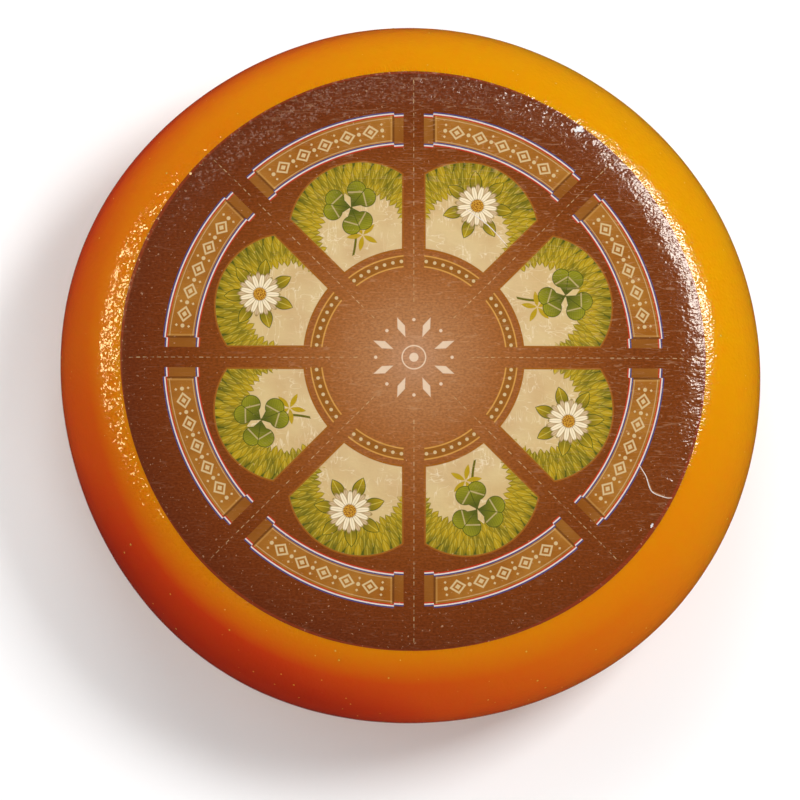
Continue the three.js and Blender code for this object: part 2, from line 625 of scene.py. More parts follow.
def bubble_tree(material):
    """Scatters flat beads over the coating, clear of the label and of the table."""
    tree, nodes, given = new_geometry_tree(
        "bubbles",
        (
            ("Geometry", "NodeSocketGeometry", None),
            ("Density", "NodeSocketFloat", 2000.0),
            ("Size", "NodeSocketFloat", 0.6 * MM),
            ("Seed", "NodeSocketInt", 0),
        ),
    )
    position = nodes.add("GeometryNodeInputPosition")
    _, _, radius = off_axis(nodes, position)
    above_table = nodes.parts(position)[2].math("GREATER_THAN", 4 * MM)
    shown = radius.math("GREATER_THAN", LABEL_RADIUS + 1.5 * MM) * above_table
    scatter = {
        "Mesh": given["Geometry"],
        "Selection": shown,
        "Density": given["Density"],
        "Seed": given["Seed"],
    }
    points = nodes.add("GeometryNodeDistributePointsOnFaces", None, scatter)
    rotation = Socket(nodes, points.link.node.outputs["Rotation"])
    bead = nodes.add("GeometryNodeMeshUVSphere", None, {"Segments": 8, "Rings": 5, "Radius": 1.0})
    spread = {2: 0.3, 3: 1.0, "Seed": given["Seed"]}
    random = nodes.add("FunctionNodeRandomValue", {"data_type": "FLOAT"}, spread, output=1)
    size = random * random * given["Size"]
    placing = {
        "Points": points,
        "Instance": bead,
        "Rotation": rotation,
        "Scale": nodes.vector(size, size, size * 0.3),
    }
    beads = nodes.add("GeometryNodeInstanceOnPoints", None, placing)
    finish_tree(nodes, beads, material)
    return tree


class CHEESE_OT_bubbles(bpy.types.Operator):
    """Scatter the bubbles that dried in the coating"""

    bl_idname = "cheese.bubbles"
    bl_label = "Make Bubbles"

    def execute(self, context):
        settings = context.scene.cheese_rind
        rind = bpy.data.objects.get("cheese_rind")
        if rind is None:
            raise RuntimeError("make the rind before its bubbles")
        values = {
            "Density": settings.bubbles,
            "Size": settings.bubble_size,
            "Seed": settings.seed,
        }
        bubbles = grow("coating_bubbles", bubble_tree(bubble_material(settings)), values, rind.data.copy())
        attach(bubbles, BODY)
        return {"FINISHED"}


# --------------------------------------------------------------------------------------------------
# The label
# --------------------------------------------------------------------------------------------------

LABEL_ROWS = {"underside": 6, "edge": 1, "top": 124}

# The print, in millimetres from the label's centre. Eight segments are parted by plain spokes, and each
# has a petal, a ribbon outside it and a cap inside it.
SEGMENTS = 8
HALF_SEGMENT = math.pi / SEGMENTS
SPOKE_HALF_WIDTH = 5.0
FILM_RADIUS = LABEL_RADIUS / MM
MARGIN = 1.0
PETAL_INNER = 53.0
PETAL_ARCH_CENTRE = 66.0
PETAL_ARCH_RADIUS = 36.0
PETAL_BORDER = 0.8
# The rows of leaves round an arch: their turn, how far out their middles are, and half their length.
LEAF_ROWS = ((0.0, 22.5, 4.2), (0.5, 25.0, 4.2), (0.25, 27.5, 4.4), (0.75, 30.5, 4.4), (0.0, 33.5, 4.6))
LEAF_COUNT = 46
LEAF_HALF_WIDTH = 1.9
CLOVER_MIDDLE = 80.0
SPRIG_MIDDLE = 65.0
STALK_END = 57.5
DAISY_MIDDLE = 81.0
EYE_RADIUS = 3.1
RIBBON = (105.5, 121.0)
RIBBON_TAIL = 4.6  # the folded end of a ribbon, and how far it steps in
RIBBON_STEP = 1.1
RIBBON_RULE = 5.6
LOZENGE_SPACING = 11.6
LOZENGE = (4.1, 3.6)
CAP = (44.5, 50.5)
CAP_DOT_SPACING = 4.2
STAR_REACH = 16.0
STAR_LOZENGE = (1.9, 5.2)
STAR_DOTS = 18.5
STRIPE = 0.65
DASH = 3.4
SOFT = 0.22

# Where one zone of the print gives way to the next, on the plain ground between them.
PETALS_START = 51.7
RIBBONS_START = 102.9

# Inks, apart from those in the settings.
MARGIN_RED = (0.20, 0.030, 0.008)
GROUND_STOPS = (
    (0.12, (0.345, 0.150, 0.058)),
    (0.30, (0.275, 0.092, 0.022)),
    (0.55, (0.205, 0.054, 0.009)),
    (0.80, (0.140, 0.030, 0.005)),
)
DULL_CREAM = (0.51, 0.345, 0.165)
YELLOW_CREAM = (0.55, 0.40, 0.13)
# Painted highlight of the crinkles on the cream.
CRINKLE_HIGHLIGHT = (0.83, 0.74, 0.56)
UNDERGROWTH = (0.07, 0.075, 0.008)
OUTLINE_GREEN = (0.06, 0.07, 0.008)
PALE_RIB = (0.52, 0.42, 0.06)
CLOVER_DARK = (0.07, 0.082, 0.01)
CLOVER_LIGHT = (0.235, 0.22, 0.012)
BACK_PETAL = (0.50, 0.36, 0.20)
FRONT_PETAL = (0.74, 0.62, 0.42)
PETAL_EDGE = (0.26, 0.17, 0.05)
EYE_LIGHT = (0.62, 0.33, 0.03)
EYE_DARK = (0.25, 0.09, 0.01)
CLOTH_SHEEN = (0.33, 0.135, 0.02)
CLOTH_BACK = (0.16, 0.045, 0.008)
CLOTH_FOLD = (0.10, 0.028, 0.006)
CLOTH_EDGE = (0.55, 0.30, 0.08)
CLOTH_THREAD = (0.12, 0.04, 0.008)
RIBBON_STRIPES = ((0.42, 0.03, 0.012), (0.62, 0.54, 0.48), (0.05, 0.05, 0.15))
CAP_GROUND = (0.24, 0.085, 0.012)
CAP_RULE = (0.50, 0.24, 0.05)
STAR = (0.72, 0.56, 0.40)
# Pale marks on the print: partly scuffs, partly painted glints.
WEAR_AND_GLINT = (0.74, 0.47, 0.27)
# White film, partly a painted highlight on the creases and the torn flaps.
WHITE_AND_HIGHLIGHT = (0.80, 0.78, 0.77)
BARE_GREY = (0.55, 0.50, 0.47)

# Creases in the film, as points in millimetres from the label's centre.
PETAL_CREASES = (((24.6, 73.8), (36.0, 65.5), (45.6, 55.2)),)
RIM_CREASES = (((108.8, -51.8), (112.2, -57.5), (115.0, -64.9), (121.9, -67.7), (125.0, -67.7)),)
CREASE_STEP = 0.8
# Fine wavy scratches: length and height of their waves, and the seed of each set.
SCRATCHES = ((30.0, 2.6, 52.0), (17.0, 1.8, 57.0), (10.0, 2.4, 60.0))
# Nicks where the film's edge is torn and curls up: place in millimetres, bearing and length of the flap.
NICKS = ((78.8, 112.8, 30.0, 5.0), (80.6, 114.2, -30.0, 3.2), (114.6, -82.4, 70.0, 2.4))


class Print:
    """Where a point of the label is in the print, as sockets in millimetres."""

    def __init__(self, nodes, place):
        centred = {
            "Vector": place,
            "Location": (-AXIS.x / MM, -AXIS.y / MM, 0),
            "Scale": (1 / MM, 1 / MM, 1 / MM),
        }
        self.nodes = nodes
        self.x, self.y, _ = nodes.parts(nodes.add("ShaderNodeMapping", None, centred))
        self.radius = self.x.beside(self.y)
        self.turn = self.y.math("ARCTAN2", self.x) / TAU
        turns = self.turn * SEGMENTS
        segment = turns.math("FLOOR")
        self.bearing = (turns - segment - 0.5) * (2 * HALF_SEGMENT)
        self.across = self.radius * self.bearing.math("SINE")
        self.out = self.radius * self.bearing.math("COSINE")
        self.off_spoke = self.radius * (HALF_SEGMENT - abs(self.bearing)).math("SINE")
        self.odd = segment % 2.0
        self.segment = (self.off_spoke - SPOKE_HALF_WIDTH).past(0.0, SOFT)

    def spun(self, out, count, turn=0.0):
        """Folds the ground round a point of the segment's middle line into equal sectors. Gives how far
        a point is off the middle line of its sector, how far out along that line, and the sector."""
        up = self.out - out
        turns = up.math("ARCTAN2", self.across) * (count / TAU) - turn
        index = turns.math("ROUND")
        off = (turns - index) * (TAU / count)
        reach = self.across.beside(up)
        return abs(reach * off.math("SINE")), reach * off.math("COSINE"), index

    @staticmethod
    def blade(off, along, middle, half_length, half_width):
        """Above 0 inside a leaf with pointed ends, and below 0 outside it, in millimetres."""
        share = (along - middle) / half_length
        return half_width * (1.0 - share * share) - off

    def row(self, band, spacing, shift=0.0):
        """The distance from the nearest of a row of marks round the middle of a band."""
        steps = self.bearing * (sum(band) / 2 / spacing) + shift
        return (steps - steps.math("ROUND")) * spacing

    def stretched(self, wide, high, seed, detail=2.0, roughness=0.55):
        """Noise whose features are so many millimetres wide and high."""
        place = self.nodes.vector(self.x / wide, self.y / high, seed)
        return self.nodes.noise(place, 1.0, detail, roughness)

    def inked(self, colour, inside, ink, shown=None):
        """A colour, with ink over it where the distance inside an outline is above 0."""
        cover = inside.past(0.0, SOFT)
        return self.nodes.mix(cover if shown is None else cover * shown, colour, ink)


def film_material(name, settings, ornament, creases, at_rim=False):
    """The printed film of one zone: its ornament, its scuffs and painted glints, and the wrinkles that
    break up its gloss.
    """
    material, nodes, place = new_material(name)
    film = Print(nodes, place)
    colour = ornament(film, settings, printed_ground(film, settings))
    colour = cut_lines(film, settings, colour)
    colour = wear_and_glints(film, colour, creases)
    normal = nodes.bumped(settings.wrinkle_height, wrinkled(film, at_rim))
    nodes.surface({"Base Color": colour, "Roughness": 0.15, "Normal": normal})
    return material


def film_materials(settings):
    """A material for each zone of the print, from the middle out, so that none holds them all."""
    return (
        film_material("print_middle", settings, printed_middle, ()),
        film_material("print_petals", settings, printed_petals, PETAL_CREASES),
        film_material("print_ribbons", settings, printed_ribbons, RIM_CREASES, at_rim=True),
    )


def wrinkled(film, at_rim):
    """The height of the film's wrinkles: a faint grain and slow puckers, and where it bends over its rim
    a crackle as well, which fades to the left, and flat flakes that glint towards the back."""
    grain = film.stretched(1.7, 1.4, 1.0, 1.0) - 0.5
    pucker = film.stretched(6.2, 6.2, 4.0, 1.0) - 0.5
    pucker = 1.8 * pucker * (0.4 + 0.6 * film.x.share(-125.0, -70.0))
    rightward = film.x.share(-115.0, 20.0)
    roughness = 0.3 + 0.15 * rightward
    if not at_rim:
        return roughness * grain + pucker
    bent = film.radius.share(116.0, 134.0)
    clumps = film.stretched(12.0, 12.0, 7.0, 0.0).share(0.3, 0.7)
    crumpled = bent * (0.5 + 0.7 * clumps) * (0.12 + 0.88 * rightward)
    round_rim = film.turn * (TAU * 142.0)
    crimps = film.nodes.noise(film.nodes.vector(round_rim / 1.5, film.radius / 2.6), 1.0, 1.0) - 0.5
    crackle = film.stretched(1.4, 1.2, 6.0, 1.0) - 0.5
    speckled = bent * film.y.share(30.0, 110.0) * (1.0 - film.x.share(40.0, 110.0))
    flake = film.nodes.flakes(film.x, film.y, 1.1, 1.2)
    relief = (roughness + 0.3 * bent * rightward) * grain + pucker
    return relief + crumpled * (0.55 * crimps + 0.42 * crackle) + speckled * flake


def printed_ground(film, settings):
    """The brown ground, pale in the middle and dark at the rim, with light painted in to make the rim
    less dark at the right, where the lights fall, and a thin red margin."""
    nodes = film.nodes
    # Painted light: the rim's ground is made lighter at the right, the side that the lights fall on.
    rightward = ((film.x * 0.97 - film.y * 0.26) / FILM_RADIUS).most(0.0)
    painted_light = 0.2 * rightward * film.radius.share(100.0, 136.0)
    stops = ((0.0, settings.ground_middle), *GROUND_STOPS, (1.0, settings.ground_rim))
    ground = nodes.ramp(film.radius / FILM_RADIUS - painted_light, stops)
    mottle = film.stretched(1.5, 0.9, 44.0, 1.0).share(0.3, 0.7)
    ground = nodes.scaled(ground, 0.82 + 0.36 * mottle)
    return nodes.mix(film.radius.past(FILM_RADIUS - MARGIN, 0.5), ground, MARGIN_RED)


def printed_petals(film, settings, colour):
    """Arched petals with a gold border: clover in every other one, and a daisy in the rest."""
    nodes = film.nodes
    to_arch = film.across.beside(film.out - PETAL_ARCH_CENTRE)
    inside = (film.off_spoke - SPOKE_HALF_WIDTH).least(film.radius - PETAL_INNER)
    inside = inside.least(PETAL_ARCH_RADIUS - to_arch)
    colour = film.inked(colour, inside, settings.gold)
    within = inside.past(PETAL_BORDER, SOFT)
    haze = film.stretched(17.0, 17.0, 21.0, 1.0)
    field = nodes.mix(haze.share(0.35, 0.65), settings.cream, DULL_CREAM)
    field = nodes.mix((film.out - 60.0).share(0.0, 40.0) * 0.5, field, YELLOW_CREAM)
    # Pale crinkle lines on the cream: painted highlights where fine crinkles catch the light.
    for wide, high, seed in ((3.2, 15.0, 26.0), (11.0, 5.0, 28.0)):
        crinkle_highlight = (1.0 - abs(film.stretched(wide, high, seed) - 0.5) * 60.0).most(0.0)
        some = film.stretched(9.0, 9.0, seed + 1.0, 0.0).share(0.48, 0.62)
        field = nodes.mix(crinkle_highlight * some * 0.4, field, CRINKLE_HIGHLIGHT)
    colour = nodes.mix(within, colour, field)

    ragged = (film.stretched(6.0, 6.0, 23.0, 1.0) - 0.5) * 22.0
    grown = within * (film.out + ragged).past(PETAL_ARCH_CENTRE - 2.0, 3.0)
    under = grown * (to_arch - 28.0).past(0.0, 1.0)
    colour = nodes.mix(under, colour, UNDERGROWTH)
    colour = foliage(film, settings, colour, grown)
    with_clover = printed_clover(film, settings, colour, within)
    with_daisy = printed_daisy(film, settings, colour, within)
    return nodes.mix(film.odd, with_clover, with_daisy)


def foliage(film, settings, colour, shown):
    """Rows of small leaves that lie over one another and point in from the arch."""
    nodes = film.nodes
    shaded = film.stretched(9.0, 9.0, 11.0, 1.0).share(0.36, 0.64)
    for row, (turn, middle, half_length) in enumerate(LEAF_ROWS):
        off, along, index = film.spun(PETAL_ARCH_CENTRE, LEAF_COUNT, turn)
        tone = (index * 0.618 + 0.37 * row) % 1.0
        reach = middle + 2.2 * tone
        leaf = film.blade(off, along, reach, half_length, LEAF_HALF_WIDTH)
        depth = 0.55 * shaded + 0.4 * tone + 0.3 * (along - reach) / half_length - 0.05
        green = nodes.mix(depth.share(0.0, 1.0), settings.leaf, settings.leaf_shade)
        green = nodes.mix((0.22 - off).past(0.0, 0.25) * 0.45, green, PALE_RIB)
        green = nodes.mix((0.3 - leaf).past(0.0, 0.4) * 0.6, green, OUTLINE_GREEN)
        colour = film.inked(colour, leaf, green, shown)
    return colour


def printed_clover(film, settings, colour, within):
    """A clover: three notched leaves, each with a pale bow across it, on a bent stalk with a sprig."""
    nodes = film.nodes
    below = CLOVER_MIDDLE - film.out
    bend = film.across - 0.016 * below * below
    stalk = (0.65 - abs(bend)).past(0.0, SOFT) * film.out.within(STALK_END, CLOVER_MIDDLE, SOFT)
    colour = nodes.mix(stalk * within, colour, settings.leaf_shade)
    off, along, _ = film.spun(SPRIG_MIDDLE, 5, 0.2)
    sprig = film.blade(off, along, 4.2, 3.8, 1.25)
    below_leaves = (SPRIG_MIDDLE + 3.5 - film.out).past(0.0, 1.0)
    colour = film.inked(colour, sprig, settings.leaf, below_leaves * within)

    off, along, _ = film.spun(CLOVER_MIDDLE, 3, 0.25)
    lobe = 4.7 - (off - 3.0).beside(along - 8.4)
    notch = (0.85 * along - off).least(8.4 - along)
    leaf = lobe.most(notch)
    light = nodes.mix(along.share(2.0, 12.0), CLOVER_DARK, CLOVER_LIGHT)
    veins = (abs((along - 0.7 * off) / 1.3 % 1.0 - 0.5) - 0.36).past(0.0, 0.1)
    light = nodes.mix(veins * 0.35, light, settings.leaf_shade)
    bow = (0.4 - abs(along + 0.8 * off - 9.6)).past(0.0, 0.4)
    light = nodes.mix(bow * 0.6, light, settings.cream)
    light = nodes.mix((0.18 - off).past(0.0, 0.15), light, OUTLINE_GREEN)
    light = nodes.mix((leaf - 0.35).past(0.0, 0.3), OUTLINE_GREEN, light)
    return film.inked(colour, leaf, light, within)


def printed_daisy(film, settings, colour, within):
    """A daisy: a dotted gold eye, two rings of pale petals, and seven leaves behind them."""
    nodes = film.nodes
    off, along, _ = film.spun(DAISY_MIDDLE, 7, 0.25)
    leaf = film.blade(off, along, 11.5, 6.0, 3.1)
    green = nodes.mix(along.share(8.0, 17.0), settings.leaf_shade, settings.leaf)
    green = nodes.mix((0.2 - off).past(0.0, 0.15) * 0.7, green, PALE_RIB)
    green = nodes.mix((leaf - 0.4).past(0.0, 0.3), OUTLINE_GREEN, green)
    colour = film.inked(colour, leaf, green, within)

    for turn, middle, half_length, white in ((0.5, 6.9, 4.3, BACK_PETAL), (0.0, 6.3, 3.9, FRONT_PETAL)):
        off, along, _ = film.spun(DAISY_MIDDLE, 13, turn)
        share = (along - middle) / half_length
        petal = (1.35 * (1.0 - share * share).most(0.0).math("SQRT") - off).least(1.0 - abs(share))
        tone = nodes.mix((0.14 - off).past(0.0, 0.15) * 0.35, white, settings.ground_rim)
        tone = nodes.mix((petal - 0.22).past(0.0, 0.2), PETAL_EDGE, tone)
        colour = film.inked(colour, petal, tone, within)
    grains = nodes.flat_cells(film.across, film.out, 0.67)
    eye = nodes.mix(grains.share(0.1, 0.6), EYE_LIGHT, EYE_DARK)
    return film.inked(colour, EYE_RADIUS - film.across.beside(film.out - DAISY_MIDDLE), eye)


def printed_ribbons(film, settings, colour):
    """Gold ribbons with three-colour edges, ends that fold back, and a row of lozenges and dots."""
    nodes = film.nodes
    low, high = RIBBON
    half = (high - low) / 2
    from_end = film.off_spoke - SPOKE_HALF_WIDTH
    tail = (RIBBON_TAIL - from_end).past(0.0, SOFT)
    level = film.radius + tail * RIBBON_STEP - (low + high) / 2
    ribbon = film.segment * (half - abs(level)).past(0.0, SOFT)
    sheen = film.stretched(22.0, 22.0, 31.0, 1.0).share(0.3, 0.7)
    cloth = nodes.mix(sheen, settings.gold, CLOTH_SHEEN)
    cloth = nodes.mix(tail * 0.45, cloth, CLOTH_BACK)
    fold_end = RIBBON_TAIL + 0.9
    cloth = nodes.mix(from_end.within(RIBBON_TAIL - 0.2, fold_end, 0.5) * 0.8, cloth, CLOTH_FOLD)
    cloth = nodes.mix(from_end.within(fold_end, fold_end + 0.8, 0.5) * 0.4, cloth, CLOTH_EDGE)
    threads = (film.bearing * (113.0 / 0.9)).math("SINE") * 0.5 + 0.5
    cloth = nodes.mix(threads * 0.10, cloth, CLOTH_THREAD)
    colour = nodes.mix(ribbon, colour, cloth)

    lozenge = abs(film.row(RIBBON, LOZENGE_SPACING)) / LOZENGE[0] + abs(level) / LOZENGE[1]
    mark = lozenge.within(0.68, 1.0, 0.08).most((0.36 - lozenge).past(0.0, 0.08))
    aside = film.row(RIBBON, LOZENGE_SPACING, 0.5)
    mark = mark.most((0.95 - aside.beside(level)).past(0.0, SOFT))
    speck = abs(aside) + abs(abs(level) - 3.0)
    mark = mark.most((0.7 - speck).past(0.0, SOFT))
    shown = from_end.past(RIBBON_TAIL + 4.0, SOFT) * film.segment
    colour = nodes.mix(mark * shown * 0.9, colour, settings.cream)
    off_rule = (abs(abs(level) - RIBBON_RULE) - 0.22).past(0.0, 0.2)
    ruled = ribbon * from_end.past(RIBBON_TAIL + 1.0, SOFT) * 0.5
    colour = nodes.mix((1.0 - off_rule) * ruled, colour, settings.cream)

    for start in (-half - 0.5, half - 1.0):
        for step, stripe in enumerate(RIBBON_STRIPES):
            edge = start + STRIPE * step
            line = film.segment * level.within(edge, edge + STRIPE, SOFT)
            colour = nodes.mix(line, colour, stripe)
    return colour


def printed_middle(film, settings, colour):
    """Gold caps inside the petals, and a small star of lozenges round the middle."""
    nodes = film.nodes
    low, high = CAP
    cap = film.segment * film.radius.within(low, high, SOFT)
    colour = nodes.mix(cap, colour, CAP_GROUND)
    level = film.radius - (low + high) / 2
    rule = film.segment * abs(level).within((high - low) / 2 - 0.7, (high - low) / 2, SOFT)
    colour = nodes.mix(rule, colour, CAP_RULE)
    dot = 0.85 - film.row(CAP, CAP_DOT_SPACING).beside(level)
    colour = film.inked(colour, dot, settings.cream, cap * 0.9)

    lozenge = abs(film.across) / STAR_LOZENGE[0] + abs(film.out - STAR_REACH) / STAR_LOZENGE[1]
    spoke_dot = film.off_spoke.beside(film.radius - STAR_DOTS)
    star = (1.0 - lozenge).past(0.0, 0.15).most((0.8 - spoke_dot).past(0.0, SOFT))
    star = star.most(film.radius.within(5.4, 6.0, SOFT)).most((2.2 - film.radius).past(0.0, SOFT))
    return nodes.mix(star * 0.75, colour, STAR)


def cut_lines(film, settings, colour):
    """Dashed lines along the spokes, where the wheel is to be cut."""
    dashes = (film.radius / DASH) % 1.0
    line = (0.18 - film.off_spoke).past(0.0, 0.2) * (0.6 - dashes).past(0.0, 0.08)
    faded = film.stretched(5.0, 5.0, 41.0, 0.0).share(0.35, 0.6)
    shown = line * faded * film.radius.within(27.0, 139.0, SOFT)
    return film.nodes.mix(shown * 0.65, colour, settings.cream)


def creased(film, creases):
    """1 along the creases and 0 off them."""
    nearest = 100.0
    for points in creases:
        for (x1, y1), (x2, y2) in zip(points, points[1:]):
            run_x, run_y = x2 - x1, y2 - y1
            square = run_x * run_x + run_y * run_y
            share = ((film.x - x1) * (run_x / square) + (film.y - y1) * (run_y / square)).clamped()
            off = (film.x - (x1 + share * run_x)).beside(film.y - (y1 + share * run_y))
            nearest = off.least(nearest)
    return (0.25 - nearest).past(0.0, 0.4)


def wear_and_glints(film, colour, creases):
    """Pale marks on the print, partly scuffs and partly painted glints where the lights catch the film:
    fine wavy scratches, most of all at the upper right and in the middle, small flecks that crowd
    towards the rim, and lines along the creases.
    """
    # Painted glints: small pale flecks where the lights catch tiny bumps in the film.
    glint_fleck = film.stretched(1.6, 1.6, 54.0, 1.0, 0.5) + 0.06 * film.radius.share(40.0, 135.0)
    crowded = film.stretched(11.0, 9.0, 51.0, 1.0).share(0.32, 0.6)
    pale_marks = 0.32 * glint_fleck.past(0.77, 0.05) * crowded
    # The scratches' painted glint is strongest at the upper right, where the lights fall, and in the
    # middle.
    upper_right = 0.25 + 0.75 * (film.x + film.y).share(-30.0, 100.0)
    scratch_glint = upper_right.most(0.8 - film.radius.share(60.0, 110.0))
    for length, height, seed in SCRATCHES:
        line = (1.0 - abs(film.stretched(length, height, seed, 1.0, 0.3) - 0.5) * 60.0).most(0.0)
        shown = film.stretched(7.0, 3.0, seed + 1.0, 1.0).share(0.48, 0.60)
        pale_marks = pale_marks.most(0.19 * line * shown * scratch_glint)
    # Painted highlight: a pale line along each crease.
    if creases:
        pale_marks = pale_marks.most(0.5 * creased(film, creases))
    return film.nodes.mix(pale_marks, colour, WEAR_AND_GLINT)


def label_tree(materials):
    """A grid turned into the thin closed disc of film, in the material of each zone of its print."""
    tree, nodes, given = new_geometry_tree(
        "label",
        (
            ("Steps round", "NodeSocketInt", 600),
            ("Steps along", "NodeSocketInt", 130),
            ("Underside ends", "NodeSocketFloat", 0.05),
            ("Edge ends", "NodeSocketFloat", 0.06),
            ("Unevenness", "NodeSocketFloat", 0.25 * MM),
            ("Puckers", "NodeSocketFloat", 0.2 * MM),
        ),
    )
    grid, turn, way = turned_grid(nodes, given["Steps round"], given["Steps along"])
    under_end = given["Underside ends"]
    edge_end = given["Edge ends"]
    under = (way / under_end).least(1.0)
    edge = ((way - under_end) / (edge_end - under_end)).clamped()
    top = ((way - edge_end) / (1.0 - edge_end)).most(0.0)
    radius = (under - top) * LABEL_RADIUS
    proud = LABEL_PROUD - 0.11 * MM * radius.share(LABEL_RADIUS - 2.0 * MM, LABEL_RADIUS)
    height = upper_surface(radius) + edge * LABEL_THICKNESS - LABEL_THICKNESS + proud
    place = uneven_place(nodes, radius, turn, height)
    film = nodes.add("GeometryNodeSetPosition", None, {"Geometry": grid, "Position": place})
    film = closed(nodes, film)

    position = nodes.add("GeometryNodeInputPosition")
    film = moved(nodes, film, along_normal(nodes, swelling(nodes, position) * given["Unevenness"]))
    off_x, off_y, reach = off_axis(nodes, position)
    round_rim = off_y.math("ARCTAN2", off_x) * LABEL_RADIUS
    folds = nodes.noise(position, 1 / (5 * MM), 2.0, seed=6.0) - 0.5
    crimp_place = nodes.vector(round_rim / (4 * MM), reach / (10 * MM))
    crimps = (nodes.noise(crimp_place, 1.0, 1.0, seed=8.0) - 0.5) * reach.share(116 * MM, 134 * MM)
    stuck_down = 1.0 - reach.share(LABEL_RADIUS - 2.5 * MM, LABEL_RADIUS - 0.5 * MM)
    puckers = (0.35 * folds + crimps) * given["Puckers"] * stuck_down
    film = moved(nodes, film, nodes.vector(0.0, 0.0, puckers))
    rim = nodes.add("GeometryNodeInputMeshEdgeAngle").math("GREATER_THAN", 0.6)
    crisp = {"Geometry": film, "Selection": rim, "Shade Smooth": False}
    film = nodes.add("GeometryNodeSetShadeSmooth", {"domain": "EDGE"}, crisp)
    middle, petals, ribbons = materials
    finish_tree(nodes, film, middle, ((PETALS_START * MM, petals), (RIBBONS_START * MM, ribbons)))
    return tree


class CHEESE_OT_label(bpy.types.Operator):
    """Make the printed label"""

    bl_idname = "cheese.label"
    bl_label = "Make Label"

    def execute(self, context):
        settings = context.scene.cheese_label
        rows = sum(LABEL_ROWS.values())
        values = {
            "Steps round": settings.steps_round + 1,
            "Steps along": rows + 1,
            "Underside ends": LABEL_ROWS["underside"] / rows,
            "Edge ends": (LABEL_ROWS["underside"] + LABEL_ROWS["edge"]) / rows,
        }
        label = grow("printed_label", label_tree(film_materials(settings)), values)
        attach(label, BODY)
        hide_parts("label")
        return {"FINISHED"}


class FilmSurface:
    """The upper face of the label as it was made, for what stands on it."""

    def __init__(self):
        label = bpy.data.objects.get("printed_label")
        if label is None:
            raise RuntimeError("make the label before what stands on it")
        self.tree = BVHTree.FromObject(label, bpy.context.evaluated_depsgraph_get())

    def at(self, x, y):
        """The place and the normal over a point given in millimetres from the label's centre."""
        above = Vector((x * MM + AXIS.x, y * MM + AXIS.y, 2 * WHEEL_HEIGHT))
        place, normal, _, _ = self.tree.ray_cast(above, Vector((0, 0, -1)))
        if place is None:
            raise RuntimeError("a point lies off the label")
        return place, normal


def white_film_and_highlight_material(name):
    """White film without print: the back of the torn flaps, partly a painted highlight where they
    curl up, and the creases' ridges, whose white is a painted highlight along each crease.
    """
    material, nodes, place = new_material(name)
    mottle = nodes.noise(place, 900.0, 2.0)
    nodes.surface({"Base Color": nodes.mix(mottle, WHITE_AND_HIGHLIGHT, BARE_GREY), "Roughness": 0.3})
    return material


def smooth_line(points, step):
    """Points about a step apart along a smooth curve through the given ones."""
    padded = [points[0], *points, points[-1]]
    line = []
    for before, start, end, after in zip(padded, padded[1:], padded[2:], padded[3:]):
        before, start, end, after = (Vector(point) for point in (before, start, end, after))
        count = max(1, round((end - start).length / step))
        for index in range(count):
            t = index / count
            bend = (end - before) * t + (2 * before - 5 * start + 4 * end - after) * t**2
            line.append(start + (bend + (3 * start - before - 3 * end + after) * t**3) / 2)
    return [*line, Vector(points[-1])]


def crease_tree(material):
    """Raises a low round ridge, tapered at both ends, along each line of its input."""
    tree, nodes, given = new_geometry_tree(
        "creases",
        (
            ("Geometry", "NodeSocketGeometry", None),
            ("Ridge radius", "NodeSocketFloat", 0.2 * MM),
        ),
    )
    curve = nodes.add("GeometryNodeMeshToCurve", None, {"Mesh": given["Geometry"]})
    way = nodes.add("GeometryNodeSplineParameter")
    taper = (way * math.pi).math("SINE").most(0.0) ** 0.5 * 0.85 + 0.15
    curve = nodes.add("GeometryNodeSetCurveRadius", None, {"Curve": curve, "Radius": taper})
    round_ridge = {"Resolution": 8, "Radius": given["Ridge radius"]}
    ring = nodes.add("GeometryNodeCurvePrimitiveCircle", None, round_ridge)
    tube = {"Curve": curve, "Profile Curve": ring, "Scale": taper, "Fill Caps": True}
    ridge = nodes.add("GeometryNodeCurveToMesh", None, tube)
    finish_tree(nodes, ridge, material)
    return tree


class CHEESE_OT_creases(bpy.types.Operator):
    """Raise the creases in the label's film"""

    bl_idname = "cheese.creases"
    bl_label = "Make Creases"

    def execute(self, context):
        surface = FilmSurface()
        corners = []
        edges = []
        for points in (*RIM_CREASES, *PETAL_CREASES):
            first = len(corners)
            corners.extend(surface.at(*point)[0] for point in smooth_line(points, CREASE_STEP))
            edges.extend((index, index + 1) for index in range(first, len(corners) - 1))
        lines = bpy.data.meshes.new("crease_lines")
        lines.from_pydata(corners, edges, [])
        values = {"Ridge radius": context.scene.cheese_label.crease_radius}
        # The ridges' white is a painted highlight along each crease.
        creases = grow("label_creases", crease_tree(white_film_and_highlight_material("crease_film_highlight")), values, lines)
        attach(creases, BODY)
        return {"FINISHED"}


def flap_tree(material):
    """A thin curled flap, pointed at both ends, that lies along X from the origin and rises."""
    tree, nodes, given = new_geometry_tree(
        "flap",
        (
            ("Length", "NodeSocketFloat", 5 * MM),
            ("Width", "NodeSocketFloat", 2.6 * MM),
            ("Lift", "NodeSocketFloat", 0.9 * MM),
            ("Thickness", "NodeSocketFloat", 0.16 * MM),
        ),
    )
    grid, turn, way = turned_grid(nodes, 25, 15)
    swell = (way * math.pi).math("SINE").most(0.0) ** 0.6
    ragged = 1.0 + 0.35 * (way * 17.0).math("SINE")
    across = (turn * TAU).math("COSINE") * given["Width"] * 0.5 * swell * ragged
    through = (turn * -TAU).math("SINE") * given["Thickness"] * 0.5 * swell
    along = way * given["Length"]
    curl = given["Lift"] * way * way + across * across * 90.0
    place = nodes.vector(along, across, through + curl)
    flap = nodes.add("GeometryNodeSetPosition", None, {"Geometry": grid, "Position": place})
    finish_tree(nodes, closed(nodes, flap), material)
    return tree


